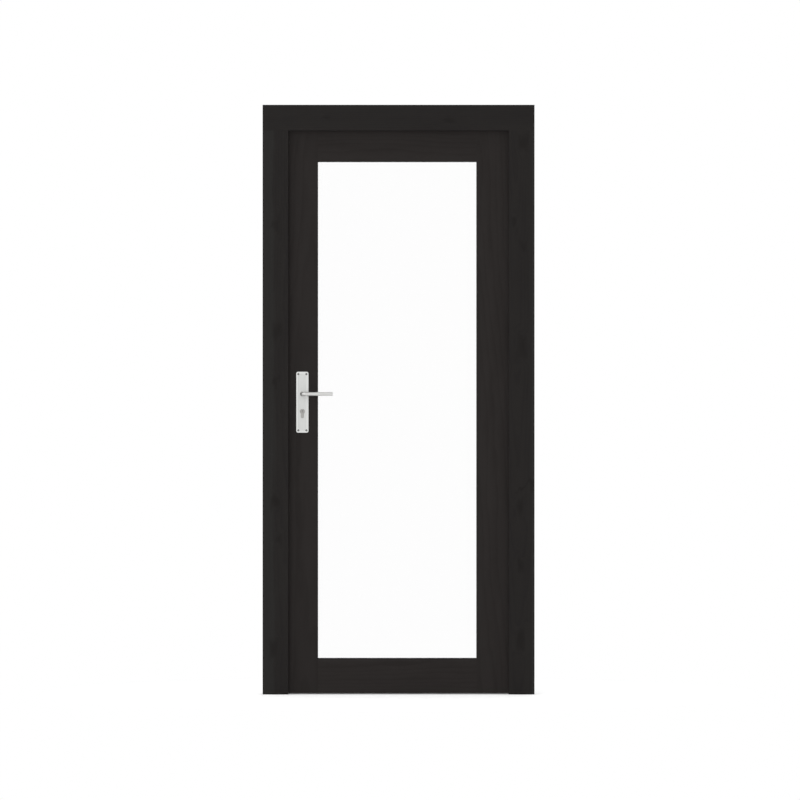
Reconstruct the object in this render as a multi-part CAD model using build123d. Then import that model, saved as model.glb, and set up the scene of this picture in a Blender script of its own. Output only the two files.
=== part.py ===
from build123d import *
import os

# A glazed timber door in its frame, seen from the side that the leaf opens away from.
# X runs to the right, Y away from the viewer and Z up, in millimetres. The origin is on the floor, below
# the middle of the frame's width and on the leaf's mid-plane.

# Frame
frame_width = 980
frame_height = 2125
frame_face = 93
nib_width = 32
nib_thickness = 20
stop_thickness = 22
stop_cover = 10
leaf_gap = 3.5
floor_gap = 3
arris = 2
jamb_tenon_length = 25
jamb_tenon_thickness = 22
jamb_tenon_inset = 8
joint_fit = 0.1

# Seals let into the stop
seal_gap = 3
seal_clear = 0.3
seal_width = 6
seal_stem = 2.6
seal_stem_depth = 5
kerf_fit = 0.2

# Leaf
top_rail_height = 121
bottom_rail_height = 126
hinge_stile_width = 126
rail_tenon_length = 55
rail_tenon_thickness = 18
rail_tenon_inset = 12

# Glazing, from the lip on the near side to the bead on the far side
lip_thickness = 12
tape_thickness = 3
pane_thickness = 4
cavity = 16
bead_thickness = 12
glazing_rebate = 18
unit_gap = 5
tape_setback = 1.5
tape_width = 9
spacer_width = 6.5
spacer_wall = 0.6
sealant_width = 4
bead_round = 5
setting_block_length = 100
setting_block_inset = 80

# Lock, measured from the leaf's edge
backset = 60
lever_height = 1083
faceplate_thickness = 3
faceplate_width = 20
faceplate_margin = 35
case_thickness = 16
case_wall = 1.5
case_behind_spindle = 28
case_above_latch = 25
case_below_cylinder = 20
wood_behind_case = 10
slide_fit = 0.3
turn_fit = 0.05

# Follower, latch bolt and dead bolt
spindle_side = 8
hub_radius = 11
journal_radius = 9
arm_width = 6
arm_near = 1
arm_thickness = 6
arm_past_stem = 6
arm_round = 2.4
latch_throw = 12
latch_height = 30
bolt_thickness = 12
latch_length = 34
latch_nose = 2
stem_above_hub = 3
stem_height = 10
stem_thickness = 2.5
stem_margin = 3
lug_thickness = 4
lug_play = 1.5
dead_bolt_height = 28
dead_bolt_throw = 20
dead_bolt_length = 37
dead_tail_length = 38
dead_tail_thickness = 4
bolt_above_cam = 2.5
bolt_below_hub = 6

# Profile cylinder
barrel_radius = 8.5
profile_height = 33
profile_leg = 10
profile_leg_round = 4
plug_radius = 6.5
cam_radius = 15.5
cam_width = 10
cam_tooth = 7
cylinder_proud = 2
keyway_width = 1.8
keyway_height = 8.5
keyway_depth = 20
cylinder_screw = 5
cylinder_screw_past = 4

# Lever handles on long backplates
lever_reach = 108
lever_bar = 14
lever_bend = 12
lever_stand_off = 48
lever_end_bevel = 0.8
spindle_into_lever = 20
grub_screw = 5
grub_inset = 0.8
grub_from_face = 9
bush_wall = 1.5
bush_proud = 0.8
plate_width = 44.5
plate_height = 220
plate_corner = 6.5
plate_rim = 1.5
plate_rim_top = 2
plate_rim_bevel = 0.5
plate_field = 3.2
plate_field_corner = 1.5
plate_field_slope = 0.9
plate_border = 8.2
plate_lift = 1.7
plate_screw_side = 7.7
plate_screw_end = 8.5
plate_cutout_fit = 0.4

# Hinges
hinge_from_top = 212
hinge_from_bottom = 237
hinge_height = 100
flap_screw_outer = 12.6
flap_screw_inner = 22.3
flap_width = 36
flap_thickness = 2.5
knuckle_radius = 6.5
knuckle_stand_off = 7
knuckle_sides = 16
knuckle_count = 5
knuckle_play = 0.3
pin_radius = 3.5
pin_cap = 3.5
pin_cap_edge = 1.75
pin_cap_top = 3.9

# Strike plate
strike_thickness = 2
strike_front = 13
strike_margin = 30
strike_corner = 3
bolt_way = 1
pocket_depth = 4

# Screws, as many-sided as their holes: shank diameter, head diameter and length
screw_sides = 12
wood_screw = 4
wood_screw_head = 7.5
wood_screw_length = 28
plate_screw_head = 7
corner_screw = 6
corner_screw_head = 11
corner_screw_length = 95
screw_fit = 0.05

# Holes for the screws that fix the frame in its wall
fixing_hole = 8
fixing_counterbore = 15
fixing_counterbore_depth = 12
fixing_spacing = 520
fixing_from_end = 120
head_fixing_spacing = 500

# Depths, from the glazing outwards
unit_thickness = 2 * pane_thickness + cavity
leaf_thickness = lip_thickness + 2 * tape_thickness + unit_thickness + bead_thickness
leaf_front = -leaf_thickness / 2
leaf_back = leaf_thickness / 2
lip_back = leaf_front + lip_thickness
unit_front = lip_back + tape_thickness
unit_back = unit_front + unit_thickness
bead_front = unit_back + tape_thickness
stop_back = leaf_front - seal_gap
frame_front = stop_back - stop_thickness
frame_back = leaf_back
nib_back = frame_front + nib_thickness

# Widths and heights, from the frame inwards
frame_half = frame_width / 2
body_half = frame_half - nib_width
body_top = frame_height - nib_width
opening_half = frame_half - frame_face
opening_top = frame_height - frame_face
leaf_half = opening_half + stop_cover
leaf_top = opening_top + stop_cover
wall_half = leaf_half + leaf_gap
wall_top = leaf_top + leaf_gap
seal_line = stop_cover / 2

# Glass and its rebate
lock_stile_width = backset + case_behind_spindle + wood_behind_case + glazing_rebate
sight_left = -leaf_half + lock_stile_width
sight_right = leaf_half - hinge_stile_width
sight_bottom = floor_gap + bottom_rail_height
sight_top = leaf_top - top_rail_height

# Lock
edge = -leaf_half
lock_x = edge + backset
stem_bottom = lever_height + hub_radius + stem_above_hub
latch_top = stem_bottom + stem_height + stem_margin
latch_bottom = latch_top - latch_height
dead_bolt_top = lever_height - hub_radius - bolt_below_hub
dead_bolt_bottom = dead_bolt_top - dead_bolt_height
cylinder_z = dead_bolt_bottom - bolt_above_cam - cam_radius
profile_drop = profile_height - barrel_radius
cylinder_bottom = cylinder_z - profile_drop
bridge_z = (cylinder_bottom + cylinder_z - cam_radius) / 2
case_front = edge + faceplate_thickness
case_back = lock_x + case_behind_spindle
case_top = latch_top + case_above_latch
case_bottom = cylinder_bottom - case_below_cylinder
case_near = -case_thickness / 2
case_far = case_thickness / 2
plate_z = (lever_height + cylinder_z) / 2 + plate_lift
plate_face = leaf_front - plate_field
plate_border_face = leaf_front - plate_rim_top
lever_y = leaf_front - lever_stand_off
lever_radius = lever_bar / 2
bush_radius = lever_radius + turn_fit + bush_wall

# Hinges
hinge_bottom = floor_gap + hinge_from_bottom
hinge_top = leaf_top - hinge_from_top
hinge_heights = {"bottom": hinge_bottom, "middle": (hinge_bottom + hinge_top) / 2, "top": hinge_top}
hinge_x = leaf_half + leaf_gap / 2
hinge_y = leaf_back + knuckle_stand_off
flap_front = leaf_back - flap_width


def block(x0, x1, y0, y1, z0, z1):
    size = Box(abs(x1 - x0), abs(y1 - y0), abs(z1 - z0))
    return Pos((x0 + x1) / 2, (y0 + y1) / 2, (z0 + z1) / 2) * size


def grown(x0, x1, y0, y1, z0, z1, by):
    return block(x0 - by, x1 + by, y0 - by, y1 + by, z0 - by, z1 + by)


def group(shapes):
    return Part() + list(shapes)


def post(outline, z0, z1):
    # A section drawn in plan, extruded upwards
    return extrude(Pos(0, 0, z0) * make_face(Polyline(*outline, close=True)), amount=z1 - z0)


def beam(outline, x0, x1):
    # A section drawn in Y and Z, extruded to the right
    face = Plane.YZ.offset(x0) * make_face(Polyline(*outline, close=True))
    return extrude(face, amount=x1 - x0)


def through(sketch, x, z, y0, y1):
    # A sketch drawn as the viewer sees it, extruded from y0 away to y1
    plane = Plane(origin=(x, y1, z), x_dir=(1, 0, 0), z_dir=(0, -1, 0))
    return extrude(plane * sketch, amount=y1 - y0)


def upright(radius, x, y, z0, z1):
    return Pos(x, y, (z0 + z1) / 2) * Cylinder(radius, z1 - z0)


def turned(radii, x, y, z0, z1, around=True):
    # A bar of many flats, tapered from one radius to the other. Its corners lie on the radii, or its flats do.
    flats = [RegularPolygon(r, knuckle_sides, major_radius=around) for r in radii]
    return loft([Pos(x, y, z0) * flats[0], Pos(x, y, z1) * flats[1]], ruled=True)


def other_side(shape):
    # The same piece on the leaf's far face
    return mirror(shape, Plane.XZ)


def edge_round(origin, along, inwards, length):
    # What is taken off a sharp edge that starts at origin, runs along and has its wood inwards
    plane = Plane(origin=origin, x_dir=inwards, z_dir=along)
    corner = Rectangle(arris, arris, align=(Align.MIN, Align.MIN))
    corner = corner - Pos(arris, arris) * Circle(arris)
    return extrude(plane * corner, amount=length)


def screw_body(shank, head, length, fit):
    # A countersunk screw down the Z axis, its head's top at the origin
    neck = (head - shank) / 2
    wide = RegularPolygon(head / 2 + fit, screw_sides)
    thin = RegularPolygon(shank / 2 + fit, screw_sides)
    return loft([wide, Pos(0, 0, -neck) * thin], ruled=True) + extrude(Pos(0, 0, -neck) * thin, neck - length - fit)


def screw(point, facing, shank, head, length, fit=0.0):
    return Plane(origin=point, z_dir=facing).location * screw_body(shank, head, length, fit)


# Where the screws go, each a list of points with the direction that the heads face
def plate_screw_points():
    across = plate_width / 2 - plate_screw_side
    up = plate_height / 2 - plate_screw_end
    return [(lock_x + i * across, plate_border_face, plate_z + j * up) for i in (-1, 1) for j in (-1, 1)]


def plate_screw(point, fit=0.0):
    length = plate_rim_top + (leaf_thickness - case_thickness) / 2 - 1
    return screw(point, (0, -1, 0), wood_screw, plate_screw_head, length, fit)


def plate_screw_way(point):
    # Lets the screw's head down past the corner of the raised field
    return through(Circle(plate_screw_head / 2 + screw_fit), point[0], point[2], plate_face, plate_border_face)


def faceplate_screw_points():
    out = faceplate_margin / 2
    return [(edge, 0, case_bottom - out), (edge, 0, case_top + out)]


def strike_screw_points():
    out = strike_margin / 2
    return [(-wall_half, 0, dead_bolt_bottom - out), (-wall_half, 0, latch_top + out)]


def flap_screw_points(x, z):
    # Four screws up the flap, the outer two nearer its edge
    step = hinge_height / 8
    outer = [(x, flap_front + flap_screw_outer, z + i * step) for i in (-3, 3)]
    return outer + [(x, flap_front + flap_screw_inner, z + i * step) for i in (-1, 1)]


def wood_screws(points, facing, fit=0.0):
    return [screw(p, facing, wood_screw, wood_screw_head, wood_screw_length, fit) for p in points]


def corner_screws(fit=0.0):
    x = (body_half + wall_half) / 2
    beside = jamb_tenon_thickness / 2 + corner_screw_head
    middle = (stop_back + frame_back) / 2
    return [
        screw(
            (side * x, middle + j * beside, body_top), (0, 0, 1),
            corner_screw, corner_screw_head, corner_screw_length, fit,
        )
        for side in (-1, 1)
        for j in (-1, 1)
    ]


# Frame
def jamb_tenon(fit=0.0):
    middle = (stop_back + frame_back) / 2
    return grown(
        wall_half + jamb_tenon_inset, body_half - jamb_tenon_inset,
        middle - jamb_tenon_thickness / 2, middle + jamb_tenon_thickness / 2,
        wall_top - 1, wall_top + jamb_tenon_length, fit,
    )


def seal_section(fit=0.0):
    # A soft bulb on a stem, drawn with the leaf above it and the stop's face at zero
    bulb = seal_gap - seal_clear
    stem = seal_stem / 2 + fit
    half = seal_width / 2
    outline = [(-half, 0), (-half, bulb / 2), (-half / 2, bulb), (half / 2, bulb), (half, bulb / 2), (half, 0)]
    outline += [(stem, 0), (stem, -seal_stem_depth - fit), (-stem, -seal_stem_depth - fit), (-stem, 0)]
    return outline


def side_seal(side):
    # It stands up to the head seal's far edge
    x = side * (opening_half + seal_line)
    outline = [(x + u, stop_back + v) for u, v in seal_section()]
    return post(outline, 0, opening_top + seal_line + seal_width / 2)


def head_seal():
    z = opening_top + seal_line
    reach = opening_half + seal_line - seal_width / 2 - seal_clear
    return beam([(stop_back + v, z + u) for u, v in seal_section()], -reach, reach)


def kerfs():
    half = seal_stem / 2 + kerf_fit
    bottom = stop_back - seal_stem_depth - kerf_fit
    x = opening_half + seal_line
    z = opening_top + seal_line
    sides = [block(s * x - half, s * x + half, bottom, stop_back, 0, z + seal_width / 2) for s in (-1, 1)]
    return group(sides + [block(-x, x, bottom, stop_back, z - half, z + half)])


def head():
    outline = [
        (frame_front, opening_top), (stop_back, opening_top), (stop_back, wall_top), (frame_back, wall_top),
        (frame_back, body_top), (nib_back, body_top), (nib_back, frame_height), (frame_front, frame_height),
    ]
    solid = beam(outline, -frame_half, frame_half)
    for side in (-1, 1):
        solid -= block(side * body_half, side * frame_half, nib_back, frame_back, opening_top, frame_height)
        solid -= edge_round(
            (side * frame_half, frame_front, opening_top), (0, 0, 1),
            (0, 1, 0) if side > 0 else (1, 0, 0), frame_face,
        )
    solid -= edge_round((-opening_half, frame_front, opening_top), (1, 0, 0), (0, 1, 0), 2 * opening_half)
    solid -= edge_round((-frame_half, frame_front, frame_height), (1, 0, 0), (0, 0, -1), frame_width)
    tenon = jamb_tenon(joint_fit)
    solid -= group([tenon, mirror(tenon, Plane.YZ), kerfs()] + corner_screws(screw_fit))
    middle = (stop_back + frame_back) / 2
    for side in (-1, 1):
        x = side * head_fixing_spacing / 2
        solid -= upright(fixing_hole / 2, x, middle, wall_top, body_top)
        solid -= upright(fixing_counterbore / 2, x, middle, wall_top, wall_top + fixing_counterbore_depth)
    return solid


def plain_jamb(side):
    outline = [
        (frame_half, frame_front), (opening_half, frame_front), (opening_half, stop_back),
        (wall_half, stop_back), (wall_half, frame_back), (body_half, frame_back), (body_half, nib_back),
        (frame_half, nib_back),
    ]
    solid = post(outline, 0, wall_top) + jamb_tenon()
    solid -= block(opening_half, frame_half, frame_front, stop_back, opening_top, wall_top)
    solid -= edge_round((opening_half, frame_front, 0), (0, 0, 1), (1, 0, 0), opening_top)
    solid -= edge_round((frame_half, frame_front, 0), (0, 0, 1), (0, 1, 0), opening_top)
    y = (stop_back + frame_back) / 2
    low = fixing_from_end
    high = opening_top - fixing_from_end
    for z in (low, low + fixing_spacing, high - fixing_spacing, high):
        hole = Pos((wall_half + body_half) / 2, y, z) * Rot(0, 90, 0)
        solid -= hole * Cylinder(fixing_hole / 2, body_half - wall_half)
        bore = Pos(wall_half + fixing_counterbore_depth / 2, y, z) * Rot(0, 90, 0)
        solid -= bore * Cylinder(fixing_counterbore / 2, fixing_counterbore_depth)
    if side < 0:
        solid = mirror(solid, Plane.YZ)
    return solid - kerfs() - group(corner_screws(screw_fit))


def jamb_lock():
    solid = plain_jamb(-1) - strike_outline(joint_fit)
    solid -= bolt_space(latch_bottom, latch_top, latch_throw, bolt_way + pocket_depth)
    solid -= bolt_space(dead_bolt_bottom, dead_bolt_top, dead_bolt_throw, bolt_way + pocket_depth)
    return solid - group(wood_screws(strike_screw_points(), (1, 0, 0), screw_fit))


def jamb_hinge():
    solid = plain_jamb(1)
    for z in hinge_heights.values():
        solid -= flap_plate(1, z, joint_fit)
        points = flap_screw_points(wall_half, z)
        solid -= group(wood_screws(points, (-1, 0, 0), screw_fit))
    return solid


def bolt_space(z0, z1, throw, room):
    # The pocket behind the strike plate that a thrown bolt goes into
    half = bolt_thickness / 2 + bolt_way
    return block(edge - throw - room, -wall_half, -half, half, z0 - bolt_way, z1 + bolt_way)


def strike_outline(fit=0.0):
    z0 = dead_bolt_bottom - strike_margin
    z1 = latch_top + strike_margin
    plate = block(
        -wall_half - strike_thickness - fit, -wall_half, -strike_front - fit, frame_back, z0 - fit, z1 + fit
    )
    corners = plate.edges().filter_by(Axis.X).group_by(Axis.Y)[0]
    return fillet(corners, strike_corner)


def strike_plate():
    solid = strike_outline()
    solid -= bolt_space(latch_bottom, latch_top, latch_throw, pocket_depth)
    solid -= bolt_space(dead_bolt_bottom, dead_bolt_top, dead_bolt_throw, pocket_depth)
    return solid - group(wood_screws(strike_screw_points(), (1, 0, 0), screw_fit))


# Hinges
def flap_plate(side, z, fit=0.0):
    # The flap that is let into the leaf's edge, side -1, or the jamb, side 1
    x0 = hinge_x + side * leaf_gap / 2
    x1 = x0 + side * (flap_thickness + fit)
    half = hinge_height / 2 + fit
    return block(x0, x1, flap_front - fit, leaf_back, z - half, z + half)


def hinge_flap(side, z):
    solid = flap_plate(side, z)
    x0 = hinge_x + side * leaf_gap / 2
    pitch = hinge_height / knuckle_count
    first = 0 if side > 0 else 1
    for i in range(first, knuckle_count, 2):
        z0 = z - hinge_height / 2 + i * pitch + knuckle_play / 2
        z1 = z0 + pitch - knuckle_play
        web = block(x0, x0 + side * flap_thickness, leaf_back, hinge_y, z0, z1)
        solid += web + turned([knuckle_radius] * 2, hinge_x, hinge_y, z0, z1)
    hole = [pin_radius + turn_fit] * 2
    solid -= turned(hole, hinge_x, hinge_y, z - hinge_height, z + hinge_height, around=False)
    points = flap_screw_points(x0, z)
    return solid - group(wood_screws(points, (-side, 0, 0), screw_fit))


def hinge_pin(z):
    end = hinge_height / 2
    edge = end + pin_cap_edge
    pin = turned([pin_radius] * 2, 0, 0, -end, end)
    for way in (-1, 1):
        pin += turned([knuckle_radius] * 2, 0, 0, *sorted((way * end, way * edge)))
        radii = [knuckle_radius, pin_cap_top]
        pin += turned(radii[::way], 0, 0, *sorted((way * edge, way * (end + pin_cap))))
    return Pos(hinge_x, hinge_y, z) * pin


def all_flap_screws(side):
    x = hinge_x + side * leaf_gap / 2
    points = [p for z in hinge_heights.values() for p in flap_screw_points(x, z)]
    return group(wood_screws(points, (-side, 0, 0)))


# Leaf
def plain_stile(outer, sight):
    # Its glazing rebate runs the whole height, and the rails' long shoulders fill it
    way = 1 if sight > outer else -1
    rebate = sight - way * glazing_rebate
    outline = [
        (outer, leaf_front), (sight, leaf_front), (sight, lip_back), (rebate, lip_back),
        (rebate, leaf_back), (outer, leaf_back),
    ]
    solid = post(outline, floor_gap, leaf_top)
    height = leaf_top - floor_gap
    near = (way, 0, 0) if way > 0 else (0, 1, 0)
    far = (0, -1, 0) if way > 0 else (-1, 0, 0)
    solid -= edge_round((outer, leaf_front, floor_gap), (0, 0, 1), near, height)
    solid -= edge_round((outer, leaf_back, floor_gap), (0, 0, 1), far, height)
    sight_edge = (0, 1, 0) if way > 0 else (1, 0, 0)
    solid -= edge_round((sight, leaf_front, sight_bottom), (0, 0, 1), sight_edge, sight_top - sight_bottom)
    return solid - rail_tenon(top_tenon(), joint_fit) - rail_tenon(bottom_tenon(), joint_fit)


def top_tenon():
    return sight_top + glazing_rebate + rail_tenon_inset, leaf_top - rail_tenon_inset


def bottom_tenon():
    return floor_gap + rail_tenon_inset, sight_bottom - glazing_rebate - rail_tenon_inset


def rail_tenon(heights, fit=0.0):
    reach = glazing_rebate + rail_tenon_length
    half = rail_tenon_thickness / 2
    return grown(sight_left - reach, sight_right + reach, -half, half, heights[0], heights[1], fit)


def plain_rail(sight, outer, heights):
    # The lip stops at the sight lines and the rest fills the stiles' rebates
    way = 1 if outer > sight else -1
    rebate = sight + way * glazing_rebate
    solid = block(sight_left, sight_right, leaf_front, lip_back, sight, outer)
    back = (sight_left - glazing_rebate, sight_right + glazing_rebate)
    solid += block(back[0], back[1], lip_back, leaf_back, rebate, outer)
    solid += rail_tenon(heights)
    inwards = (0, 1, 0) if way > 0 else (0, 0, -1)
    width = sight_right - sight_left
    return solid - edge_round((sight_left, leaf_front, sight), (1, 0, 0), inwards, width)


def rail_top():
    return plain_rail(sight_top, leaf_top, top_tenon())


def rail_bottom():
    return plain_rail(sight_bottom, floor_gap, bottom_tenon())


def case_mortice():
    return grown(edge, case_back, case_near, case_far, case_bottom, case_top, joint_fit)


def faceplate_outline(x0, x1, fit=0.0):
    half = faceplate_width / 2 + fit
    z0 = case_bottom - faceplate_margin - fit
    z1 = case_top + faceplate_margin + fit
    plate = block(x0, x1, -half, half, z0, z1)
    return fillet(plate.edges().filter_by(Axis.X), faceplate_width / 2 - 1)


def stile_lock():
    solid = plain_stile(edge, sight_left) - case_mortice()
    solid -= faceplate_outline(edge - 1, case_front, joint_fit)
    way = through(Circle(journal_radius + bolt_way), lock_x, lever_height, leaf_front, leaf_back)
    solid -= way
    solid -= through(profile(bolt_way), lock_x, cylinder_z, leaf_front, leaf_back)
    solid -= group(wood_screws(faceplate_screw_points(), (-1, 0, 0), screw_fit))
    for point in plate_screw_points():
        hole = plate_screw(point, screw_fit)
        solid -= hole + other_side(hole)
    return solid


def stile_hinge():
    solid = plain_stile(leaf_half, sight_right)
    for z in hinge_heights.values():
        solid -= flap_plate(-1, z, joint_fit)
        solid -= group(wood_screws(flap_screw_points(leaf_half, z), (1, 0, 0), screw_fit))
    return solid


# Glazing: rings and sheets round the sight size
def sight_ring(inner, outer, y0, y1):
    # A flat ring whose edges lie this far outside the sight lines
    whole = block(sight_left - outer, sight_right + outer, y0, y1, sight_bottom - outer, sight_top + outer)
    hole = block(sight_left - inner, sight_right + inner, y0, y1, sight_bottom - inner, sight_top + inner)
    return whole - hole


unit_out = glazing_rebate - unit_gap
spacer_out = unit_out - sealant_width
spacer_in = spacer_out - spacer_width


def pane(y):
    out = unit_out
    return block(
        sight_left - out, sight_right + out, y, y + pane_thickness, sight_bottom - out, sight_top + out
    )


def spacer_bar():
    y0 = unit_front + pane_thickness
    y1 = y0 + cavity
    wall = spacer_wall
    return sight_ring(spacer_in, spacer_out, y0, y1) - sight_ring(
        spacer_in + wall, spacer_out - wall, y0 + wall, y1 - wall
    )


def glazing_tape(y):
    return sight_ring(tape_setback, tape_setback + tape_width, y, y + tape_thickness)


def bead(side):
    # Mitred at both ends, with its sight edge rounded on the far side
    out = glazing_rebate
    left, right = sight_left, sight_right
    low, high = sight_bottom, sight_top
    outlines = {
        "lock": [(left - out, low - out), (left - out, high + out), (left, high), (left, low)],
        "hinge": [(right + out, low - out), (right, low), (right, high), (right + out, high + out)],
        "top": [(left - out, high + out), (right + out, high + out), (right, high), (left, high)],
        "bottom": [(left - out, low - out), (left, low), (right, low), (right + out, low - out)],
    }
    sketch = make_face(Polyline(*outlines[side], close=True))
    solid = through(sketch, 0, 0, bead_front, leaf_back)
    middle = {"lock": (left, 0), "hinge": (right, 0), "top": (0, high), "bottom": (0, low)}[side]
    along = Axis.Z if middle[1] == 0 else Axis.X
    edges = solid.edges().filter_by(along).filter_by(lambda e: abs(e.center().Y - leaf_back) < 0.01)
    inner = edges.filter_by(
        lambda e: abs((e.center().X if along == Axis.Z else e.center().Z) - (middle[0] or middle[1])) < 0.01
    )
    return fillet(inner, bead_round)


def glazing_blocks():
    # Setting blocks carry the glass, and locating blocks keep it from sliding sideways
    y0, y1 = unit_front, unit_back
    out = glazing_rebate
    pieces = []
    for x in (sight_left + setting_block_inset, sight_right - setting_block_inset - setting_block_length):
        pieces.append(block(x, x + setting_block_length, y0, y1, sight_bottom - out, sight_bottom - unit_out))
    for z in (sight_bottom + setting_block_inset, sight_top - setting_block_inset - setting_block_length):
        z1 = z + setting_block_length
        pieces.append(block(sight_left - out, sight_left - unit_out, y0, y1, z, z1))
        pieces.append(block(sight_right + unit_out, sight_right + out, y0, y1, z, z1))
    return group(pieces)


# Lock
def profile(fit=0.0):
    # The round barrel over its narrow leg
    leg_round = profile_leg / 2 + fit
    leg = Pos(0, -profile_drop / 2 - fit / 2) * Rectangle(2 * leg_round, profile_drop + fit)
    ends = leg.vertices().group_by(Axis.Y)[0]
    return Circle(barrel_radius + fit) + fillet(ends, profile_leg_round + fit)


def bolt_hole(z0, z1, x0, x1):
    half = bolt_thickness / 2 + slide_fit
    return block(x0, x1, -half, half, z0 - slide_fit, z1 + slide_fit)


def cylinder_screw_body(fit=0.0):
    length = backset + cylinder_screw_past
    return screw((edge, 0, bridge_z), (-1, 0, 0), cylinder_screw, cylinder_screw * 1.8, length, fit)


def lock_openings():
    # Cut from the case and its cover alike: spindle and cylinder
    spindle = through(Circle(journal_radius + turn_fit), lock_x, lever_height, case_near, case_far)
    return spindle + through(profile(slide_fit), lock_x, cylinder_z, case_near, case_far)


def lock_case():
    # A tray, open on the far side
    solid = block(case_front, case_back, case_near, case_far - case_wall, case_bottom, case_top)
    wall = case_wall
    solid -= block(
        case_front + wall, case_back - wall, case_near + wall, case_far, case_bottom + wall, case_top - wall
    )
    inside = case_front + 2 * wall
    solid -= bolt_hole(latch_bottom, latch_top, edge, inside)
    solid -= bolt_hole(dead_bolt_bottom, dead_bolt_top, edge, inside)
    return solid - lock_openings() - cylinder_screw_body(slide_fit)


def lock_cover():
    return block(case_front, case_back, case_far - case_wall, case_far, case_bottom, case_top) - lock_openings()


def lock_faceplate():
    solid = faceplate_outline(edge, case_front)
    solid -= bolt_hole(latch_bottom, latch_top, edge, case_front)
    solid -= bolt_hole(dead_bolt_bottom, dead_bolt_top, edge, case_front)
    solid -= group(wood_screws(faceplate_screw_points(), (-1, 0, 0), screw_fit))
    return solid - cylinder_screw_body(screw_fit)


def follower():
    inner = case_thickness / 2 - case_wall - slide_fit
    solid = through(Circle(hub_radius), lock_x, lever_height, -inner, inner)
    solid += through(Circle(journal_radius), lock_x, lever_height, case_near, case_far)
    tip = hub_radius + stem_above_hub + arm_past_stem
    arm = Pos(0, tip / 2) * Rectangle(arm_width, tip)
    arm = fillet(arm.vertices().group_by(Axis.Y)[-1], arm_round)
    solid += through(arm, lock_x, lever_height, arm_near - arm_thickness, arm_near)
    side = spindle_side + 2 * turn_fit
    return solid - through(Rectangle(side, side), lock_x, lever_height, case_near, case_far)


def spindle():
    reach = -leaf_front + spindle_into_lever
    return through(Rectangle(spindle_side, spindle_side), lock_x, lever_height, -reach, reach)


def latch_bolt():
    # The nose is bevelled on the side that meets the strike first as the leaf closes
    half = bolt_thickness / 2
    tip = edge - latch_throw
    back = edge - latch_throw + latch_length
    outline = [(tip, half), (tip, half - latch_nose), (edge - latch_nose, -half), (back, -half), (back, half)]
    solid = post(outline, latch_bottom, latch_top)
    plate_y = arm_near + 1
    lug_x = lock_x + arm_width / 2 + lug_play
    stem_top = stem_bottom + stem_height
    solid += block(back - 1, lug_x + lug_thickness, plate_y, plate_y + stem_thickness, stem_bottom, stem_top)
    lug_near = arm_near - arm_thickness
    return solid + block(lug_x, lug_x + lug_thickness, lug_near, plate_y, stem_bottom, stem_top)


def dead_bolt():
    half = bolt_thickness / 2
    back = edge + dead_bolt_length
    solid = block(edge, back, -half, half, dead_bolt_bottom, dead_bolt_top)
    tail = dead_tail_thickness / 2
    inset = bolt_above_cam
    return solid + block(
        back, back + dead_tail_length, -tail, tail, dead_bolt_bottom + inset, dead_bolt_top - inset
    )


def cylinder_end():
    return -leaf_front + plate_field + cylinder_proud


def cylinder_body():
    end = cylinder_end()
    solid = through(profile(), lock_x, cylinder_z, -end, end)
    solid -= through(Circle(plug_radius + turn_fit), lock_x, cylinder_z, -end, end)
    slot = cam_width / 2 + slide_fit
    solid -= through(Circle(cam_radius + slide_fit), lock_x, cylinder_z, -slot, slot)
    return solid - cylinder_screw_body(screw_fit)


def cylinder_plug():
    end = cylinder_end()
    solid = through(Circle(plug_radius), lock_x, cylinder_z, -end, -cam_width / 2)
    key = Rectangle(keyway_width, keyway_height)
    return solid - through(key, lock_x, cylinder_z, -end, keyway_depth - end)


def cylinder_cam():
    half = cam_width / 2
    tooth = Pos(0, -cam_radius / 2) * Rectangle(cam_tooth, cam_radius)
    shape = Circle(barrel_radius - 1) + (tooth & Circle(cam_radius))
    return through(shape, lock_x, cylinder_z, -half, half)


# Handles
def lever():
    base = (lock_x, leaf_front, lever_height)
    elbow = (lock_x, lever_y, lever_height)
    end = (lock_x + lever_reach, lever_y, lever_height)
    path = FilletPolyline(base, elbow, end, radius=lever_bend)
    solid = sweep(Plane(origin=base, z_dir=(0, -1, 0)) * Circle(lever_radius), path=path)
    solid = chamfer(solid.edges().group_by(Axis.X)[-1], lever_end_bevel)
    side = spindle_side + 2 * turn_fit
    bottom = leaf_front - spindle_into_lever - slide_fit
    solid -= through(Rectangle(side, side), lock_x, lever_height, bottom, leaf_front)
    return solid - grub_hole()


def grub_hole(fit=screw_fit):
    y = plate_face - grub_from_face
    depth = lever_radius - spindle_side / 2
    z = lever_height - spindle_side / 2 - depth / 2
    return Pos(lock_x, y, z) * Cylinder(grub_screw / 2 + fit, depth)


def grub_screws():
    # One under each lever's neck, against the spindle
    y = plate_face - grub_from_face
    bottom = lever_height - lever_radius + grub_inset
    piece = upright(grub_screw / 2, lock_x, y, bottom, lever_height - spindle_side / 2)
    return group([piece, other_side(piece)])


def backplate():
    def outline(inset, corner):
        return RectangleRounded(plate_width - 2 * inset, plate_height - 2 * inset, corner)

    def level(inset, corner, out):
        plane = Plane(origin=(lock_x, leaf_front - out, plate_z), x_dir=(1, 0, 0), z_dir=(0, -1, 0))
        return plane * outline(inset, corner)

    bevel = plate_rim_bevel
    edge_top = level(0, plate_corner, plate_rim)
    solid = extrude(level(0, plate_corner, 0), plate_rim)
    solid += loft([edge_top, level(bevel, plate_corner - bevel, plate_rim_top)], ruled=True)
    foot = level(plate_border, plate_field_corner, plate_rim_top)
    field = level(plate_border + plate_field_slope, plate_field_corner, plate_field)
    solid += loft([foot, field], ruled=True)
    solid -= through(Circle(bush_radius), lock_x, lever_height, plate_face, leaf_front)
    solid -= through(profile(plate_cutout_fit), lock_x, cylinder_z, plate_face, leaf_front)
    solid -= group(plate_screw_way(point) for point in plate_screw_points())
    return solid - group(plate_screw(point, screw_fit) for point in plate_screw_points())


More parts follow.
